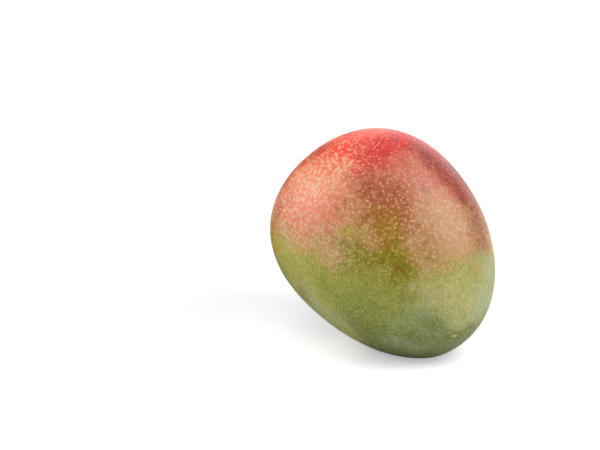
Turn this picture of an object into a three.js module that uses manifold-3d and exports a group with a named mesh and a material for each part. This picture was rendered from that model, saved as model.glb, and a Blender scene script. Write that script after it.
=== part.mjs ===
// A whole mango as picked: the fruit, and the cut stump of its stalk in the hollow at the stem end.
// It leans with its tip low and its back up, and rests on a small flat spot that lies under its weight.
// Millimetres, +Z up. The origin is under the middle of the part, on the surface that it rests on.

import * as THREE from 'three';
import { mergeVertices } from 'three/addons/utils/BufferGeometryUtils.js';
import Module from 'manifold-3d';

// The fruit has its own axes: X from stem end to tip, Y from belly to back, Z from cheek to cheek.
const LENGTH = 124;
const WIDTH = 100;
const THICKNESS = 87;
const FULLNESS = 2.21; // 2 gives an ellipsoid, and more gives squarer shoulders and a blunter tip
const TAPER = 0.16; // share of the girth that the tip loses and the stem end gains
const ARCH = 2.9; // how far both ends curve towards the belly
const SLANT = 2.9; // how far the tip is set towards the back, and the stem end towards the belly

// The shallow hollow round the stalk.
const HOLLOW_DEPTH = 3.4;
const HOLLOW_RADIUS = 9.5;

// The scar that the flower left: a blunt point beside the tip, on the +Z cheek.
const SCAR_DIRECTION = [0.99, 0.03, 0.14];
const SCAR_HEIGHT = 0.5;
const SCAR_RADIUS = 3.5;

// The unevenness of a grown skin: long low waves that cross the whole fruit.
const SWELLS = [
  { across: [2.1, 3.3, 1.4], start: -1.3, height: 0.2 },
  { across: [-3.6, 1.9, 2.8], start: 2.1, height: 0.2 },
  { across: [1.2, -2.4, 4.3], start: -1.8, height: 0.3 },
];

// The stalk's stump, standing on the floor of the hollow with its foot in a socket.
const STALK_RADIUS = 2.4;
const STALK_FOOT_RADIUS = 2.9;
const STALK_CUT_RADIUS = 2.65;
const STALK_LENGTH = 6.2; // from the floor of the hollow to the cut
const STALK_FOOT = 2.5; // what stands below the floor of the hollow
const STALK_LEAN = 0.1; // sideways run for each millimetre of length, towards the back
const STALK_CUT_SLOPE = 0.2; // rise of the cut across the stump, for each millimetre
const STALK_RIBS = 5;
const STALK_RIB_HEIGHT = 0.12;
const GAP = 0.3; // clear space between the stump's foot and its socket

// How the fruit lies: it is rolled about its length, its tip is dipped, and it is turned on the floor.
const ROLL = 74;
const DIP = 33;
const HEADING = -48;
const FOOT_DEPTH = 4; // what the flat spot takes off the lowest point

const SKIN_DETAIL = 17; // each face of the icosahedron is split into (detail + 1)² triangles
const STALK_SIDES = 20;

const radians = THREE.MathUtils.degToRad;
const wasm = await Module();
wasm.setup();

// The even skin, before its hollow, scar and swells, for a unit direction from the fruit's middle.
function evenSkin(direction) {
  const around = Math.hypot(direction.y, direction.z);
  const reach = (Math.abs(direction.x) ** FULLNESS + around ** FULLNESS) ** (-1 / FULLNESS);
  const along = direction.x * reach; // -1 at the stem end, 1 at the tip
  const girth = reach * (1 - TAPER * along);
  return new THREE.Vector3(
    (LENGTH / 2) * along,
    (WIDTH / 2) * direction.y * girth - ARCH * along ** 2 + SLANT * along,
    (THICKNESS / 2) * direction.z * girth,
  );
}

// A smooth mound: 1 in its middle, a third at its radius, and next to nothing at twice that.
function mound(distance, radius) {
  return Math.exp(-((distance / radius) ** 2));
}

const stemDirection = new THREE.Vector3(-1, 0, 0);
const stemEnd = evenSkin(stemDirection);
const scar = evenSkin(new THREE.Vector3(...SCAR_DIRECTION).normalize());
const swells = SWELLS.map((swell) => ({ ...swell, across: new THREE.Vector3(...swell.across) }));

// The finished skin for a unit direction.
function skin(direction) {
  const point = evenSkin(direction);
  const offAxis = Math.hypot(point.y - stemEnd.y, point.z - stemEnd.z);
  const sunk = direction.x < 0 ? HOLLOW_DEPTH * mound(offAxis, HOLLOW_RADIUS) : 0;
  let raised = SCAR_HEIGHT * mound(point.distanceTo(scar), SCAR_RADIUS);
  for (const { across, start, height } of swells) {
    raised += height * Math.sin(direction.dot(across) + start);
  }
  point.addScaledVector(direction, raised);
  point.x += sunk;
  return point;
}

const hollowFloor = skin(stemDirection);

// A closed geometry as a solid that can be joined and cut.
function solidOf(geometry) {
  const bare = geometry.clone();
  bare.deleteAttribute('normal');
  bare.deleteAttribute('uv');
  const merged = mergeVertices(bare, 1e-4);
  return new wasm.Manifold(
    new wasm.Mesh({
      numProp: 3,
      vertProperties: merged.attributes.position.array,
      triVerts: new Uint32Array(merged.index.array),
    }),
  );
}

function geometryOf(solid) {
  const { vertProperties, triVerts } = solid.getMesh();
  const geometry = new THREE.BufferGeometry();
  geometry.setAttribute('position', new THREE.BufferAttribute(vertProperties, 3));
  geometry.setIndex(new THREE.BufferAttribute(triVerts, 1));
  geometry.computeVertexNormals();
  return geometry;
}

// Moves every vertex of a geometry to where a function puts it.
function reshape(geometry, place) {
  const position = geometry.attributes.position;
  const vertex = new THREE.Vector3();
  for (let i = 0; i < position.count; i += 1) {
    const moved = place(vertex.fromBufferAttribute(position, i));
    position.setXYZ(i, moved.x, moved.y, moved.z);
  }
  return geometry;
}

// The whole fruit, before the socket and the flat spot are cut.
function roundFruit() {
  const ball = new THREE.IcosahedronGeometry(1, SKIN_DETAIL);
  return reshape(ball, (vertex) => skin(vertex.clone().normalize()));
}

// A turned solid that stands on the floor of the hollow, its axis running out of the stem end.
// The profile's points are the distance from the axis and the distance out from that floor.
function turnedOnHollow(profile) {
  const points = profile.map(([radius, out]) => new THREE.Vector2(radius, out));
  const turned = new THREE.LatheGeometry(points, STALK_SIDES);
  turned.rotateZ(Math.PI / 2); // the axis that the lathe turns round, +Y, now points to -X
  turned.translate(hollowFloor.x, hollowFloor.y, hollowFloor.z);
  return turned;
}

function socket() {
  const radius = STALK_FOOT_RADIUS + GAP;
  const bottom = -STALK_FOOT - GAP;
  const mouth = STALK_FOOT; // clear of the skin
  return turnedOnHollow([[0, bottom], [radius, bottom], [radius, mouth], [0, mouth]]);
}

// The stump narrows above its foot, flares a little to the slanted cut, leans, and has faint ribs.
function stump() {
  const straight = turnedOnHollow([
    [0, -STALK_FOOT],
    [STALK_FOOT_RADIUS * 0.92, -STALK_FOOT],
    [STALK_FOOT_RADIUS, -STALK_FOOT * 0.8],
    [STALK_FOOT_RADIUS, 0],
    [STALK_FOOT_RADIUS * 0.94, STALK_LENGTH * 0.1],
    [STALK_RADIUS, STALK_LENGTH * 0.32],
    [STALK_RADIUS * 0.97, STALK_LENGTH * 0.55],
    [STALK_RADIUS, STALK_LENGTH * 0.75],
    [STALK_CUT_RADIUS, STALK_LENGTH * 0.95],
    [STALK_CUT_RADIUS * 0.92, STALK_LENGTH],
    [0, STALK_LENGTH],
  ]);
  return reshape(straight, (vertex) => {
    const moved = vertex.clone();
    const out = hollowFloor.x - vertex.x;
    if (out <= 0) return moved; // the foot stays round, to fit its socket
    const y = vertex.y - hollowFloor.y;
    const z = vertex.z - hollowFloor.z;
    const share = out / STALK_LENGTH;
    const swollen = STALK_RIB_HEIGHT * share * Math.cos(STALK_RIBS * Math.atan2(z, y));
    const spread = 1 + swollen / STALK_RADIUS;
    moved.y = hollowFloor.y + y * spread + STALK_LEAN * out;
    moved.z = hollowFloor.z + z * spread;
    moved.x -= STALK_CUT_SLOPE * y * share ** 3;
    return moved;
  });
}

const skinMaterial = new THREE.MeshStandardMaterial({ color: 0x9a8a45, roughness: 0.42, metalness: 0 });
const stalkMaterial = new THREE.MeshStandardMaterial({ color: 0x77704f, roughness: 0.8, metalness: 0 });

const fruit = new THREE.Mesh(roundFruit(), skinMaterial);
fruit.name = 'fruit';
const stalk = new THREE.Mesh(stump(), stalkMaterial);
stalk.name = 'stalk';

const leaning = new THREE.Group();
leaning.rotation.set(radians(ROLL), radians(DIP), radians(HEADING), 'ZYX');
leaning.add(fruit, stalk);

const mango = new THREE.Group();
mango.add(leaning);

// The part is centred over the origin, and let down until the flat spot's depth is below the surface.
const extent = new THREE.Box3().setFromObject(mango, true);
const middle = extent.getCenter(new THREE.Vector3());
leaning.position.set(-middle.x, -middle.y, -extent.min.z - FOOT_DEPTH);
mango.updateMatrixWorld(true);

// The ground that cuts the flat spot, turned into the fruit's own axes.
const groundSize = 2 * LENGTH;
const ground = new THREE.BoxGeometry(groundSize, groundSize, groundSize);
ground.translate(0, 0, -groundSize / 2);
ground.applyMatrix4(leaning.matrixWorld.clone().invert());

fruit.geometry = geometryOf(
  solidOf(fruit.geometry).subtract(solidOf(socket())).subtract(solidOf(ground)),
);

export default mango;
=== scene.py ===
import math

import bmesh
import bpy
from mathutils import Euler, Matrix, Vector, noise


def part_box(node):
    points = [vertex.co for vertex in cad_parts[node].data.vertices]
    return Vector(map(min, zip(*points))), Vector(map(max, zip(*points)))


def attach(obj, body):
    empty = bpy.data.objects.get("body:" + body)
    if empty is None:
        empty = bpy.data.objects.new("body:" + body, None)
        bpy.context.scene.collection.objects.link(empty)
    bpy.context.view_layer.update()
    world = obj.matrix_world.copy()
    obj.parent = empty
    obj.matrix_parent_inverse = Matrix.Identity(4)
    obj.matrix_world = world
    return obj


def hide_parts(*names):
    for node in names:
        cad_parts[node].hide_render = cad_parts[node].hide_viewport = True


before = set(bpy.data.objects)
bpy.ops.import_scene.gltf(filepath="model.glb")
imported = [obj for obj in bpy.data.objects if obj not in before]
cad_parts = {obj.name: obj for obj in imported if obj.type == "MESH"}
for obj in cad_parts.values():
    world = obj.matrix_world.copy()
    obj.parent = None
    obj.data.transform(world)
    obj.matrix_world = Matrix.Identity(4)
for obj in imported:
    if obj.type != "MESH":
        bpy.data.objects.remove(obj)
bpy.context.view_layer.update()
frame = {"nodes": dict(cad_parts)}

mm = 0.001
print("frame loaded:", ", ".join(frame["nodes"]))


# The fruit has its own axes: X from the stem end to the tip, Y from belly to back and Z to the near cheek.
# Lengths are in millimetres and angles in degrees.
fruit = {
    "length": 124,
    "width": 100,
    "thickness": 87,
    "fullness": 2.21,
    "taper": 0.16,
    "arch": 2.9,
    "slant": 2.9,
    "hollowDepth": 3.4,
    "hollowRadius": 9.5,
    "scarAt": (0.99, 0.03, 0.14),
    "scarHeight": 0.5,
    "scarRadius": 3.5,
    "swells": (((2.1, 3.3, 1.4), -1.3, 0.2), ((-3.6, 1.9, 2.8), 2.1, 0.2), ((1.2, -2.4, 4.3), -1.8, 0.3)),
    "roll": 74,
    "dip": 33,
    "heading": -48,
    "footDepth": 4,  # what resting takes off the lowest point
    "footEdge": 1.3,  # how softly the skin turns into the flat spot
    "inset": 0.05,  # the skin stays this far inside the solid's facets
    "dents": ((17, 0.16), (6, 0.05)),  # wavelength and depth
    "folds": 9,  # fine folds that run into the hollow
    "foldDepth": 0.16,
    "foldsAt": 4.5,  # how far from the stalk's axis they are deepest
    "foldsReach": 2.6,
    "foldSway": 2,  # how far they stray, in radians of their own wave
    "foldSwaySize": 5,
    "socketEdge": (2.65, 3.15),  # where the pit that holds the stalk's foot begins and ends
    "socketDepth": 2.4,
    "roundness": 7,  # subdivisions of the sphere that it starts from
    "finerAtStem": (11, 7),  # within so many degrees of the stem end, edges are halved, and halved again
    "finerAtScar": 5,
}


def mound(distance, radius):
    return math.exp(-((distance / radius) ** 2))


def ease(low, high, value):  # 0 below low, 1 above high, smooth between them
    share = min(max((value - low) / (high - low), 0), 1)
    return share * share * (3 - 2 * share)


def softNoise(place):  # from 0 to 1
    return 0.5 + 0.5 * noise.noise(place)


def evenSkin(way):  # the plain form, for a unit direction from the fruit's middle
    around = math.hypot(way.y, way.z)
    reach = (abs(way.x) ** fruit["fullness"] + around ** fruit["fullness"]) ** (-1 / fruit["fullness"])
    along = way.x * reach
    girth = reach * (1 - fruit["taper"] * along)
    return Vector((
        fruit["length"] / 2 * along,
        fruit["width"] / 2 * way.y * girth - fruit["arch"] * along ** 2 + fruit["slant"] * along,
        fruit["thickness"] / 2 * way.z * girth,
    ))


stemWay = Vector((-1, 0, 0))
stemEnd = evenSkin(stemWay)
scarWay = Vector(fruit["scarAt"]).normalized()
scar = evenSkin(scarWay)


def swell(way):
    waves = fruit["swells"]
    return sum(height * math.sin(way.dot(Vector(across)) + start) for across, start, height in waves)


def grownSkin(way):  # the form with its scar, swells and stem hollow, as the solid has it
    point = evenSkin(way)
    offAxis = math.hypot(point.y - stemEnd.y, point.z - stemEnd.z)
    raised = fruit["scarHeight"] * mound((point - scar).length, fruit["scarRadius"]) + swell(way)
    sunk = fruit["hollowDepth"] * mound(offAxis, fruit["hollowRadius"]) if way.x < 0 else 0
    return point + raised * way + Vector((sunk, 0, 0))


hollowFloor = grownSkin(stemWay)


def fineSkin(way):  # the finished form: soft dents, folds round the stalk and the pit that holds its foot
    point = grownSkin(way)
    dent = fruit["inset"]
    for size, depth in fruit["dents"]:
        dent += depth * softNoise(point / size)
    y, z = point.y - hollowFloor.y, point.z - hollowFloor.z
    offAxis = math.hypot(y, z)
    if way.x < 0:
        sway = fruit["foldSway"] * noise.noise(point / fruit["foldSwaySize"])
        fold = math.sin(fruit["folds"] * math.atan2(z, y) + sway)
        dent += fruit["foldDepth"] * (1 + fold) * mound(offAxis - fruit["foldsAt"], fruit["foldsReach"])
        pit = 1 - ease(*fruit["socketEdge"], offAxis)
        point.x += pit * fruit["socketDepth"]
    return point - dent * way


lie = [math.radians(fruit[name]) for name in ("roll", "dip", "heading")]
turn = Euler(lie, "XYZ").to_matrix()  # from the fruit's own axes to the frame's


def addPiece(name, bm, finish, node):
    mesh = bpy.data.meshes.new(name)
    bm.to_mesh(mesh)
    bm.free()
    piece = bpy.data.objects.new(name, mesh)
    bpy.context.scene.collection.objects.link(piece)
    mesh.materials.append(finish)
    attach(piece, "root")
    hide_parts(node)


# The middle of the fruit's own axes in the frame, so that the skin lies where the solid does.
def findMiddle(points):
    low, high = (Vector(corner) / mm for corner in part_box("fruit"))
    turned = [turn @ point for point in points]
    least = [min(point[axis] for point in turned) for axis in range(3)]
    most = [max(point[axis] for point in turned) for axis in range(3)]
    return Vector((
        (low.x + high.x - least[0] - most[0]) / 2,
        (low.y + high.y - least[1] - most[1]) / 2,
        high.z - most[2] - fruit["inset"],
    ))


def pressedDown(height):  # the skin's height after the floor has flattened it
    edge = fruit["footEdge"]
    if height <= -edge:
        return 0
    if height >= edge:
        return height
    return (height + edge) ** 2 / (4 * edge)


def halveEdges(bm, way, degrees):  # those within so many degrees of a direction
    reach = math.radians(degrees)
    near = [edge for edge in bm.edges if all(vert.co.angle(way) < reach for vert in edge.verts)]
    bmesh.ops.subdivide_edges(bm, edges=near, cuts=1)


def makeFruit():
    bm = bmesh.new()
    bmesh.ops.create_icosphere(bm, subdivisions=fruit["roundness"], radius=1)
    for degrees in fruit["finerAtStem"]:
        halveEdges(bm, stemWay, degrees)
    halveEdges(bm, scarWay, fruit["finerAtScar"])
    bmesh.ops.triangulate(bm, faces=[face for face in bm.faces if len(face.verts) > 3])
    points = [fineSkin(vert.co.normalized()) for vert in bm.verts]
    middle = findMiddle(points)
    for vert, point in zip(bm.verts, points):
        vert.co = turn @ point + middle
        vert.co.z = pressedDown(vert.co.z)
    bmesh.ops.scale(bm, vec=(mm, mm, mm), verts=bm.verts)
    for face in bm.faces:
        face.smooth = True
    print("fruit:", len(bm.faces), "faces, middle", [round(value, 2) for value in middle])
    addPiece("fruit_skin", bm, makeSkin(middle), "fruit")
    return middle


# Round spots in the skin: their sizes and soft edges are shares of the radius that is asked for.
spots = {
    "least": 0.75,
    "spread": 0.4,
    "edge": (0.5, 1.05),
    "faint": (-0.1, 0.45),  # the random numbers between which a spot goes from unseen to full
    "shift": 37,  # how far each seed moves the pattern, in millimetres
}


# Shader maths. A Wire is a socket that can stand in a sum.
class Wire:
    def __init__(self, finish, socket):
        self.finish = finish
        self.socket = socket

    def other(self, name):  # another output of the same node
        return Wire(self.finish, self.socket.node.outputs[name])

    def __add__(self, other):
        return self.finish.sums("ADD", self, other)

    def __sub__(self, other):
        return self.finish.sums("SUBTRACT", self, other)

    def __rsub__(self, other):
        return self.finish.sums("SUBTRACT", other, self)

    def __mul__(self, other):
        return self.finish.sums("MULTIPLY", self, other)

    def __truediv__(self, other):
        return self.finish.sums("DIVIDE", self, other)

    def __pow__(self, other):
        return self.finish.sums("POWER", self, other)


class Finish:
    def __init__(self, name, tree=None):
        if tree is None:
            self.material = bpy.data.materials.new(name)
            self.material.use_nodes = True
            tree = self.material.node_tree
        self.tree = tree
        self.tree.nodes.clear()

    def node(self, kind, settings=None, inputs=None, output=0):
        made = self.tree.nodes.new(kind)
        for name, value in (settings or {}).items():
            if name == "stops":
                self.setStops(made.color_ramp, value)
            else:
                setattr(made, name, value)
        for name, value in (inputs or {}).items():
            if isinstance(value, Wire):
                self.tree.links.new(value.socket, made.inputs[name])
            else:
                made.inputs[name].default_value = value
        return Wire(self, made.outputs[output]) if made.outputs else None

    def setStops(self, ramp, stops):
        while len(ramp.elements) < len(stops):
            ramp.elements.new(1)
        for element, (position, colour) in zip(ramp.elements, stops):
            element.position = position
            element.color = colour

    def sums(self, operation, first, second):
        return self.node("ShaderNodeMath", {"operation": operation}, {0: first, 1: second})

    def most(self, first, second):
        return self.sums("MAXIMUM", first, second)

    def vectors(self, operation, first, second, output=0):
        return self.node("ShaderNodeVectorMath", {"operation": operation}, {0: first, 1: second}, output)

    def distance(self, first, second):
        return self.vectors("DISTANCE", first, second, "Value")

    def axis(self, vector, name):
        return self.node("ShaderNodeSeparateXYZ", None, {"Vector": vector}, name)

    def mix(self, share, first, second):  # of two colours
        settings = {"data_type": "RGBA", "clamp_factor": True}
        return self.node("ShaderNodeMix", settings, {0: share, 6: first, 7: second}, 2)

    def power(self, colour, gamma):
        return self.node("ShaderNodeGamma", None, {"Color": colour, "Gamma": gamma})

    def ease(self, low, high, value):  # 0 at low, 1 at high, smooth between them
        inputs = {"Value": value, "From Min": low, "From Max": high}
        return self.node("ShaderNodeMapRange", {"interpolation_type": "SMOOTHSTEP"}, inputs)

    def cloud(self, place, size, detail=2, seed=0, output="Fac"):  # soft noise, its blobs about size across
        settings = {"noise_dimensions": "4D"}
        inputs = {"Vector": place, "W": seed, "Scale": 1 / size, "Detail": detail, "Roughness": 0.5}
        return self.node("ShaderNodeTexNoise", settings, inputs, output)

    def cells(self, place, spacing, seed):  # how far the nearest of many scattered points is, in spacings
        moved = self.vectors("ADD", place, (spots["shift"] * seed, 0, 0))
        return self.node("ShaderNodeTexVoronoi", None, {"Vector": moved, "Scale": 1 / spacing})

    def dots(self, place, spacing, radius, seed):  # round spots, no two alike, 1 in their middles
        away = self.cells(place, spacing, seed)
        random = self.axis(away.other("Color"), "X")
        size = (random * spots["spread"] + spots["least"]) * radius / spacing
        return (1 - self.ease(*spots["edge"], away / size)) * self.ease(*spots["faint"], random.other("Y"))

    def near(self, place, stroke):  # 1 close to the line between a stroke's two places, 0 beyond its edge
        start, end = Vector(stroke["from"]), Vector(stroke["to"])
        along = self.vectors("SUBTRACT", place, start)
        share = self.vectors("DOT_PRODUCT", along, (end - start) / (end - start).length_squared, "Value")
        share = self.node("ShaderNodeClamp", None, {"Value": share})
        spread = self.node("ShaderNodeCombineXYZ", None, {0: share, 1: share, 2: share})
        nearest = self.vectors("MULTIPLY", spread, end - start)
        return 1 - self.ease(stroke["core"], stroke["edge"], self.distance(along, nearest))

    def places(self, middle):  # in the frame's axes and in the fruit's own, in millimetres
        seen = self.node("ShaderNodeTexCoord", output="Object")
        place = self.vectors("DIVIDE", seen, (mm, mm, mm))
        moved = {"Vector": place, "Location": middle, "Rotation": lie}
        return place, self.node("ShaderNodeMapping", {"vector_type": "TEXTURE"}, moved)

    def bump(self, height, rise):  # rise is in millimetres
        return self.node("ShaderNodeBump", None, {"Strength": 1, "Distance": rise * mm, "Height": height})

    def surface(self, inputs):  # ends the material in one shader
        shader = self.node("ShaderNodeBsdfPrincipled", None, inputs)
        self.node("ShaderNodeOutputMaterial", None, {"Surface": shader})
        return self.material


def paint(red, green, blue):  # a colour as seen on a screen, from 0 to 255, for a shader
    def linear(value):
        share = value / 255
        return share / 12.92 if share <= 0.04045 else ((share + 0.055) / 1.055) ** 2.4
    return (linear(red), linear(green), linear(blue), 1)


def brush(start, end, core, edge, colour, most):  # a stroke, solid out to its core and gone at its edge
    return {"from": start, "to": end, "core": core, "edge": edge, "paint": paint(*colour), "most": most}


# Places are in the frame, in millimetres: X to the right, Y away from the camera, Z up from the floor.
skin = {
    "ground": (  # the green under the blush, by height
        (2, paint(98, 108, 44)),
        (17, paint(112, 122, 40)),
        (34, paint(139, 147, 42)),
        (44, paint(161, 162, 54)),
        (56, paint(182, 168, 82)),
    ),
    "blush": paint(212, 162, 116),
    "blushFrom": 42,
    "blushFull": 66,
    "top": 104,  # the height that the greens are spread over
    "mottles": ((16, 24), (6, 14), (2.2, 4)),  # the blotches that ruffle every edge: their size and push
    "uneven": 2.6,  # the size of the blotches that thin every stroke
    # Each stroke has its two places, its core, its edge, its paint and how much of it there is at the most.
    "strokes": (
        brush((-6, 30, 84), (32, 22, 72), 26, 52, (160, 52, 42), 1),  # the dark red back
        brush((-48, 14, 76), (-34, -18, 76), 6, 34, (248, 159, 124), 0.95),  # the salmon left cheek
        brush((-14, -18, 94), (-36, -8, 85), 4, 22, (255, 182, 148), 0.9),  # pale coral under the crown
        brush((4, 10, 104), (-18, 0, 101), 4, 24, (255, 110, 76), 1),  # the coral crown
        brush((20, 0, 99), (-1, -14, 97), 3, 21, (226, 38, 34), 1),  # its red heart
        brush((9, -24, 92), (28, -21, 86), 3, 20, (216, 124, 100), 0.85),  # salmon on the right of it
        brush((-4, -30, 86), (4, -40, 75), 2, 16, (192, 102, 64), 0.85),  # the brown tongue down the middle
        brush((0, -41, 70), (4, -46, 60), 2, 16, (184, 142, 34), 0.85),  # its olive end
        brush((-17, -36, 68), (-16, -38, 66), 1, 9, (200, 190, 84), 0.6),  # a yellow fleck on its left
        brush((-14, -42, 54), (8, -50, 50), 2, 16, (148, 138, 6), 0.9),  # the olive middle
        brush((22, -9, 95), (41, -22, 75), 2, 14, (170, 66, 48), 0.9),  # painted shade: the dark band on the right, a darker red where the skin shows a dark gap between its reflections
        brush((42, -24, 73), (46, -31, 60), 2, 14, (168, 110, 76), 0.75),  # its fading end, painted shade too
        brush((38, -46, 37), (22, -52, 42), 2, 16, (202, 195, 124), 0.7),  # pale green on the lower right
        brush((50, -36, 48), (50, -40, 34), 3, 15, (176, 182, 122), 0.8),  # the pale right edge
        brush((-34, 8, 93), (-50, 11, 74), 2, 12, (224, 96, 70), 0.8),  # red on the left rim
        brush((-54, 10, 66), (-54, 4, 60), 3, 13, (206, 110, 46), 0.85),  # orange under it
        brush((-57, 8, 50), (-53, -4, 46), 3, 14, (188, 158, 34), 0.85),  # and yellow under that
        brush((-48, -14, 44), (-22, -24, 12), 2, 25, (206, 198, 104), 0.55),  # pale green on the lower left
    ),
    "stem": {"edge": (3, 13), "paint": paint(168, 158, 78), "most": 0.85},  # the green ring round the stalk
    "cork": {"edge": (3.1, 4.3), "paint": paint(112, 86, 52)},
    # The waxy bloom, a thin grey-green haze in drifts.
    "bloom": {
        "paint": paint(176, 186, 152), "size": 9, "patchy": (0.3, 0.7), "most": 0.42,
        "drifts": (
            {"from": (14, -52, 32), "to": (30, -50, 24), "core": 2, "edge": 18},
            {"from": (50, -38, 46), "to": (46, -43, 28), "core": 2, "edge": 13},
            {"from": (-34, -18, 24), "to": (-20, -32, 18), "core": 2, "edge": 12},
            {"from": (4, -44, 16), "to": (20, -46, 11), "core": 1, "edge": 11},
        ),
    },
    # Lenticels: spacing and radius, the heights where they start and are at their fullest, how strong they
    # are, and how much of their own paint they have there, over a paler tone of the skin under them.
    "dots": (
        {
            "spacing": 1.7, "radius": 0.49, "low": 32, "high": 72, "strength": 0.92,
            "paint": paint(255, 188, 118), "tint": 0.5,
        },
        {
            "spacing": 1.35, "radius": 0.47, "low": 88, "high": 44, "strength": 0.64,
            "paint": paint(228, 204, 92), "tint": 0.35,
        },
    ),
    # Where the dots are larger and more orange, and the skin between them is deeper.
    "crowded": {
        "from": (-24, -8, 97), "to": (-47, -3, 74), "core": 6, "edge": 26,
        "larger": 0.4, "deeper": 0.9, "paint": paint(255, 190, 92),
    },
    "pale": 0.5,  # the power that gives the paler tone, and the least that the fine light and dark may reach
    # How much deeper the colour is between the dots than in them, and its share where the dots are absent.
    "web": {"depth": 0.9, "least": 0.2, "middle": 0.45},
    "grain": ((0.8, 0.5, 7), (3.2, 0.2, 8)),  # size, depth and seed of the fine light and dark
    "rich": {"low": 50, "high": 84, "depth": 0.2},  # how much deeper the skin gets up in the blush
    # Where the dots and the fine light and dark are faint.
    "calm": {"from": (20, -20, 92), "to": (40, -40, 60), "core": 8, "edge": 25, "most": 0.5},
    "specks": {"spacing": 5.2, "radius": 0.3, "seed": 9, "paint": paint(96, 60, 40), "most": 0.7},
    # Single marks: two brown specks at the crown, a pale scar low on the right, and three faint bruises.
    "marks": (
        brush((6.3, -4.2, 101.6), (7.4, -3.6, 101.5), 0.2, 1.2, (126, 48, 40), 0.8),
        brush((-33.8, -3, 89.6), (-33.2, -2.6, 89.9), 0.1, 0.9, (150, 30, 24), 0.6),
        brush((32.6, -48.8, 18.2), (34, -48.6, 17.8), 0.2, 1.3, (196, 196, 150), 0.7),
        brush((36.8, -23.6, 78), (38, -24, 76.6), 0.4, 2.6, (92, 46, 38), 0.5),
        brush((19, -29.2, 84.8), (20.4, -29.8, 84.2), 0.6, 3.2, (146, 78, 74), 0.35),
        brush((5.4, -49.8, 53), (7, -50.2, 52), 0.5, 3, (150, 84, 24), 0.5),
    ),
    "roughness": {"least": 0.33, "vary": 0.14, "size": 9, "bloom": 0.3},
    "bump": 0.03,  # how high a dot stands, in millimetres
}


def makeSkin(middle):
    finish = Finish("skin")
    place, own = finish.places(middle)
    ruffled = place
    for seed, (size, push) in enumerate(skin["mottles"]):
        blotch = finish.cloud(place, size, seed=seed, output="Color")
        shift = finish.vectors("SUBTRACT", blotch, (0.5, 0.5, 0.5))
        ruffled = finish.vectors("ADD", ruffled, finish.vectors("MULTIPLY", shift, (push, push, push)))
    height = finish.axis(ruffled, "Z")
    level = finish.axis(place, "Z")

    # The green ground, the blush over it and the strokes in the blush.
    stops = [(at / skin["top"], colour) for at, colour in skin["ground"]]
    colour = finish.node("ShaderNodeValToRGB", {"stops": stops}, {"Fac": height / skin["top"]})
    colour = finish.mix(finish.ease(skin["blushFrom"], skin["blushFull"], height), colour, skin["blush"])
    uneven = finish.cloud(place, skin["uneven"], detail=4, seed=12) + 0.5
    for stroke in skin["strokes"]:
        colour = finish.mix(finish.near(ruffled, stroke) * stroke["most"] * uneven, colour, stroke["paint"])

    # The hollow round the stalk.
    fromStem = finish.distance(own, hollowFloor)
    stem, cork = skin["stem"], skin["cork"]
    colour = finish.mix((1 - finish.ease(*stem["edge"], fromStem)) * stem["most"], colour, stem["paint"])
    colour = finish.mix(1 - finish.ease(*cork["edge"], fromStem), colour, cork["paint"])

    # Fine light and dark: a power above 1 deepens the colour, and one below pales it.
    web, crowd, rich = skin["web"], skin["crowded"], skin["rich"]
    full = [finish.ease(dots["low"], dots["high"], level) for dots in skin["dots"]]
    crowded = finish.near(ruffled, crowd)
    between = finish.cells(place, skin["dots"][0]["spacing"], 0) - web["middle"]
    deeper = between * (full[0] * (1 - web["least"]) + web["least"]) * web["depth"]
    deeper = deeper * (crowded * crowd["deeper"] + 1)
    deeper = deeper + finish.ease(rich["low"], rich["high"], height) * rich["depth"]
    for size, depth, seed in skin["grain"]:
        deeper = deeper + (finish.cloud(place, size, seed=seed) - 0.5) * (2 * depth)
    calm = 1 - finish.near(ruffled, skin["calm"]) * skin["calm"]["most"]
    colour = finish.power(colour, finish.most(deeper * calm + 1, skin["pale"]))

    # Bloom, lenticels, specks and marks.
    bloom = skin["bloom"]
    drift = 0
    for stroke in bloom["drifts"]:
        drift = finish.most(drift, finish.near(ruffled, stroke))
    patchy = finish.ease(*bloom["patchy"], finish.cloud(place, bloom["size"], detail=6, seed=20))
    drift = drift * patchy * bloom["most"]
    colour = finish.mix(drift, colour, bloom["paint"])
    raised = 0
    for seed, (dots, share) in enumerate(zip(skin["dots"], full)):
        radius = (crowded * crowd["larger"] + 1) * dots["radius"]
        shows = finish.dots(place, dots["spacing"], radius, seed) * share * dots["strength"]
        tint = finish.mix(crowded, dots["paint"], crowd["paint"])
        tint = finish.mix(share * dots["tint"], finish.power(colour, skin["pale"]), tint)
        colour = finish.mix(shows * calm, colour, tint)
        raised = finish.most(shows, raised)
    specks = skin["specks"]
    shows = finish.dots(place, specks["spacing"], specks["radius"], specks["seed"]) * specks["most"]
    colour = finish.mix(shows, colour, specks["paint"])
    for mark in skin["marks"]:
        colour = finish.mix(finish.near(place, mark) * mark["most"], colour, mark["paint"])

    rough = skin["roughness"]
    patchy = finish.cloud(place, rough["size"], detail=3, seed=4)
    return finish.surface({
        "Base Color": colour,
        "Roughness": patchy * rough["vary"] + rough["least"] + drift * rough["bloom"],
        "Normal": finish.bump(raised, skin["bump"]),
    })


# The cut stump of the stalk. The profile gives distances from its axis and out from the floor of the hollow.
stalk = {
    "profile": (
        (0, -2.2), (2.6, -2.2), (2.84, -1.9), (2.84, 0), (2.68, 0.62), (2.46, 1.3), (2.34, 1.98),
        (2.27, 3.41), (2.33, 4.65), (2.56, 5.6), (2.58, 5.85), (2.4, 6.1), (2.15, 6.02), (1.4, 5.84),
        (0.6, 5.8), (0, 5.74),
    ),
    "cuts": 2,  # extra points between two of the profile
    "sides": 72,
    "radius": 2.4,
    "length": 6.2,
    "ribs": 5,
    "ribHeight": 0.12,
    "lean": 0.1,
    "cutSlope": 0.2,
    "bark": ((1.7, 0.09), (0.55, 0.05)),  # wavelength and depth
    "barkStretch": 0.45,  # below 1 draws the relief out along the stalk
}


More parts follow.
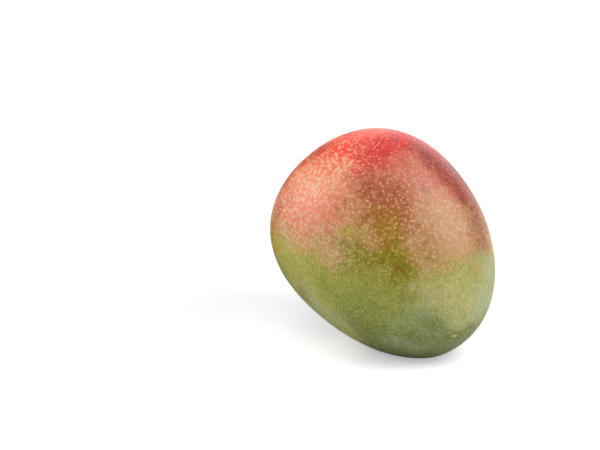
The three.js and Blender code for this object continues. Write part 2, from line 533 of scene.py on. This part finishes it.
def stalkPoint(vert):  # from an upright turned stump to the fruit's own axes, ribbed, leaning and cut
    out = vert.z
    y, z = vert.x, vert.y
    share = max(out, 0) / stalk["length"]
    ribs = stalk["ribHeight"] * share * math.cos(stalk["ribs"] * math.atan2(z, y))
    place = Vector((y, z, out * stalk["barkStretch"]))
    sunk = sum(depth * share * softNoise(place / size) for size, depth in stalk["bark"])
    spread = 1 + (ribs - sunk) / stalk["radius"]
    rise = stalk["cutSlope"] * y * share ** 3
    return hollowFloor + Vector((-out - rise, y * spread + stalk["lean"] * max(out, 0), z * spread))


def makeStalk(middle):
    bm = bmesh.new()
    line = [bm.verts.new((radius, 0, out)) for radius, out in stalk["profile"]]
    edges = [bm.edges.new(pair) for pair in zip(line, line[1:])]
    bmesh.ops.subdivide_edges(bm, edges=edges, cuts=stalk["cuts"])
    bmesh.ops.spin(
        bm, geom=bm.verts[:] + bm.edges[:], cent=(0, 0, 0), axis=(0, 0, 1), dvec=(0, 0, 0),
        angle=2 * math.pi, steps=stalk["sides"], use_merge=True,
    )
    bmesh.ops.remove_doubles(bm, verts=bm.verts, dist=1e-4)
    for vert in bm.verts:
        vert.co = (turn @ stalkPoint(vert.co) + middle) * mm
    bm.normal_update()  # or the next line would judge by normals from before the points moved
    bmesh.ops.recalc_face_normals(bm, faces=bm.faces)
    for face in bm.faces:
        face.smooth = True
    print("stalk:", len(bm.faces), "faces")
    addPiece("stalk_stump", bm, makeBark(middle), "stalk")


# An edge pair gives where something starts and where it is full, as shares of soft noise or millimetres out
# from the hollow's floor. A reach pair gives the distances from the axis where it starts to fade and is gone.
bark = {
    "young": paint(122, 116, 78),
    "old": paint(96, 82, 56),
    "oldSize": 1.3,
    "oldEdge": (0.35, 0.65),
    "rim": paint(70, 50, 32),
    "rimEdge": (5.3, 5.7),
    "rimMost": 0.85,
    "fleckSize": 0.45,
    "fleckEdge": (0.55, 0.7),
    "fleckMost": 0.6,
    "wood": paint(176, 144, 98),
    "woodEdge": (5.55, 5.7),
    "woodReach": (2.1, 2.4),
    "ringSize": 0.35,
    "ringWander": 0.2,
    "pith": paint(120, 88, 54),
    "pithReach": (0.35, 0.75),
    "stretch": 0.3,  # below 1 draws the pattern out along the stalk
    "reliefSize": 0.6,
    "relief": 0.15,
    "roughness": {"least": 0.65, "vary": 0.2},
    "specular": 0.35,
}


def makeBark(middle):
    finish = Finish("bark")
    own = finish.places(middle)[1]
    place = finish.vectors("SUBTRACT", own, hollowFloor)
    x = finish.axis(place, "X")
    out = x * -1
    y = x.other("Y") - out * stalk["lean"]
    z = x.other("Z")
    radius = (y * y + z * z) ** 0.5
    along = finish.vectors("MULTIPLY", place, (bark["stretch"], 1, 1))
    aged = finish.ease(*bark["oldEdge"], finish.cloud(along, bark["oldSize"], detail=4, seed=2))
    colour = finish.mix(aged, bark["young"], bark["old"])
    flecks = finish.ease(*bark["fleckEdge"], finish.cloud(along, bark["fleckSize"], detail=3, seed=5))
    colour = finish.mix(flecks * bark["fleckMost"], colour, bark["rim"])
    top = out - y * stalk["cutSlope"]
    colour = finish.mix(finish.ease(*bark["rimEdge"], top) * bark["rimMost"], colour, bark["rim"])

    # The cut end: rings of wood round the pith.
    wander = bark["ringWander"]
    ringed = finish.node("ShaderNodeCombineXYZ", None, {"X": radius, "Y": y * wander, "Z": z * wander})
    wood = finish.mix(finish.cloud(ringed, bark["ringSize"], seed=3), bark["wood"], bark["rim"])
    wood = finish.mix(1 - finish.ease(*bark["pithReach"], radius), wood, bark["pith"])
    cut = finish.ease(*bark["woodEdge"], top) * (1 - finish.ease(*bark["woodReach"], radius))
    relief = finish.cloud(along, bark["reliefSize"], detail=4, seed=6)
    rough = bark["roughness"]
    return finish.surface({
        "Base Color": finish.mix(cut, colour, wood),
        "Roughness": relief * rough["vary"] + rough["least"],
        "Normal": finish.bump(relief, bark["relief"]),
        "Specular IOR Level": bark["specular"],
    })


# Camera and light, in millimetres and degrees. The camera stands as the photograph was taken, and the fruit
# is off its middle as there. Azimuths are from the camera's side to the right.
studio = {
    "elevation": 19,
    "distance": 823.7,  # from the fruit's middle, along the view
    "lens": 100,
    "sensor": 36,
    "frame": (600, 450),
    "middleAt": (388.6, 245.93),  # where the fruit's middle shows in the frame, in pixels
    "lamps": (  # bright is what the skin mirrors
        {"name": "right", "azimuth": 78, "elevation": 45, "distance": 900, "size": (620, 560), "bright": 3.4},
        {"name": "left", "azimuth": -96, "elevation": 20, "distance": 900, "size": (560, 480), "bright": 3.8},
    ),
    "front": 0.1,
    "ceiling": {"bright": 1.2, "edge": (0.5, 0.95)},
    "backdrop": {"bright": 1.5, "edge": (0.6, 0.8)},
    "flag": {"azimuth": -142, "elevation": -5, "edge": (0.7, 0.92)},  # a dark screen behind, on the left
}


def wayTo(place):  # the direction from the fruit to a lamp or screen
    azimuth, elevation = math.radians(place["azimuth"]), math.radians(place["elevation"])
    return Vector((
        math.sin(azimuth) * math.cos(elevation),
        -math.cos(azimuth) * math.cos(elevation),
        math.sin(elevation),
    ))


def makeCamera(middle):
    tilt = math.radians(studio["elevation"])
    up = Vector((0, math.sin(tilt), math.cos(tilt)))
    back = Vector((0, -math.cos(tilt), math.sin(tilt)))
    width, height = studio["frame"]
    pixel = studio["sensor"] / studio["lens"] / width * studio["distance"]
    across = (studio["middleAt"][0] - width / 2) * pixel
    above = (height / 2 - studio["middleAt"][1]) * pixel
    data = bpy.data.cameras.new("camera")
    data.lens = studio["lens"]
    data.sensor_width = studio["sensor"]
    data.clip_start = 0.01
    data.clip_end = 20
    camera = bpy.data.objects.new("camera", data)
    camera.location = (middle - Vector((across, 0, 0)) - above * up + studio["distance"] * back) * mm
    camera.rotation_euler = (math.pi / 2 - tilt, 0, 0)
    bpy.context.scene.collection.objects.link(camera)
    bpy.context.scene.camera = camera
    print("camera made")


def makeLamps(middle):
    for lamp in studio["lamps"]:
        way = wayTo(lamp)
        data = bpy.data.lights.new(lamp["name"], "AREA")
        data.shape = "RECTANGLE"
        data.size, data.size_y = (value * mm for value in lamp["size"])
        data.energy = lamp["bright"] * math.pi * data.size * data.size_y
        light = bpy.data.objects.new(lamp["name"], data)
        light.location = (middle + way * lamp["distance"]) * mm
        light.rotation_euler = way.to_track_quat("Z", "Y").to_euler()
        bpy.context.scene.collection.objects.link(light)
    print("lamps:", len(studio["lamps"]))


def makeSurround():  # dark on the camera's side, as a studio is, and white behind and above
    world = bpy.data.worlds.new("surround")
    world.use_nodes = True
    bpy.context.scene.world = world
    look = Finish(world.name, world.node_tree)
    way = look.node("ShaderNodeTexCoord", output="Generated")
    front, ceiling, backdrop = studio["front"], studio["ceiling"], studio["backdrop"]
    above = look.ease(*ceiling["edge"], look.axis(way, "Z")) * (ceiling["bright"] - front)
    behind = look.ease(*backdrop["edge"], look.axis(way, "Y")) * (backdrop["bright"] - front)
    flag = studio["flag"]
    clear = 1 - look.ease(*flag["edge"], look.vectors("DOT_PRODUCT", way, wayTo(flag), "Value"))
    strength = look.most(above, behind) * clear + front
    white = (1, 1, 1, 1)
    cast = look.node("ShaderNodeBackground", None, {"Color": white, "Strength": strength})
    seen = look.node("ShaderNodeBackground", None, {"Color": white, "Strength": 1})
    toCamera = look.node("ShaderNodeLightPath", output="Is Camera Ray")
    either = look.node("ShaderNodeMixShader", None, {0: toCamera, 1: cast, 2: seen})
    look.node("ShaderNodeOutputWorld", None, {"Surface": either})
    print("surround made")


# The floor, in metres, because its material reads them.
floorLook = {
    "size": 4,
    "paint": (0.94, 0.94, 0.96, 1),
    "glow": 0.03,  # light that it gives off by itself
    "glowPaint": (0.98, 0.98, 1.02, 1),
    # And more that only the camera sees, mostly before the fruit, so that just the contact shadow shows.
    "seen": {
        "at": (0.015, -0.05, 0), "core": 0.05, "near": 0.44, "edge": 0.16, "far": 0.06,
        "horizonEdge": (0.3, 1.2), "horizon": 0.25,
    },
    "contact": {"at": (-0.002, -0.036, 0), "edge": 0.03, "darker": 0.13},  # painted shadow: the floor glows less here, so that shadow is darkest at this place
    "shade": {"at": (-0.17, 0.09, 0), "core": 0.07, "edge": 0.22, "left": 0.12},  # painted shade: the floor is darker here for the light it passes on, as if a dark screen stood behind, on the left
}


def makeFloor():
    finish = Finish("floor")
    place = finish.node("ShaderNodeTexCoord", output="Object")
    toCamera = finish.node("ShaderNodeLightPath", output="Is Camera Ray")
    # Painted shade on the floor, seen only in the light it passes on to the fruit; the camera sees the floor
    # unshaded.
    shade = floorLook["shade"]
    clear = finish.ease(shade["core"], shade["edge"], finish.distance(place, shade["at"]))
    clear = finish.most(clear * (1 - shade["left"]) + shade["left"], toCamera)
    matt = finish.node("ShaderNodeBsdfDiffuse", None, {
        "Color": finish.mix(clear, (0, 0, 0, 1), floorLook["paint"]),
    })
    pool, contact = floorLook["seen"], floorLook["contact"]
    away = finish.distance(place, pool["at"])
    seen = finish.ease(pool["edge"], pool["core"], away) * (pool["near"] - pool["far"]) + pool["far"]
    seen = seen + finish.ease(*pool["horizonEdge"], away) * pool["horizon"]
    # Painted shadow: less glow near where the fruit touches the floor.
    paintedShadow = finish.ease(contact["edge"], 0, finish.distance(place, contact["at"]))
    strength = toCamera * (seen - paintedShadow * contact["darker"]) + floorLook["glow"]
    glow = finish.node("ShaderNodeEmission", None, {"Color": floorLook["glowPaint"], "Strength": strength})
    both = finish.node("ShaderNodeAddShader", None, {0: matt, 1: glow})
    finish.node("ShaderNodeOutputMaterial", None, {"Surface": both})
    bm = bmesh.new()
    bmesh.ops.create_grid(bm, x_segments=1, y_segments=1, size=floorLook["size"] / 2)
    mesh = bpy.data.meshes.new("floor")
    bm.to_mesh(mesh)
    bm.free()
    floor = bpy.data.objects.new("floor", mesh)
    mesh.materials.append(finish.material)
    bpy.context.scene.collection.objects.link(floor)
    print("floor made")


bpy.context.scene.view_settings.view_transform = "Standard"
middle = makeFruit()
makeStalk(middle)
makeCamera(middle)
makeLamps(middle)
makeSurround()
makeFloor()
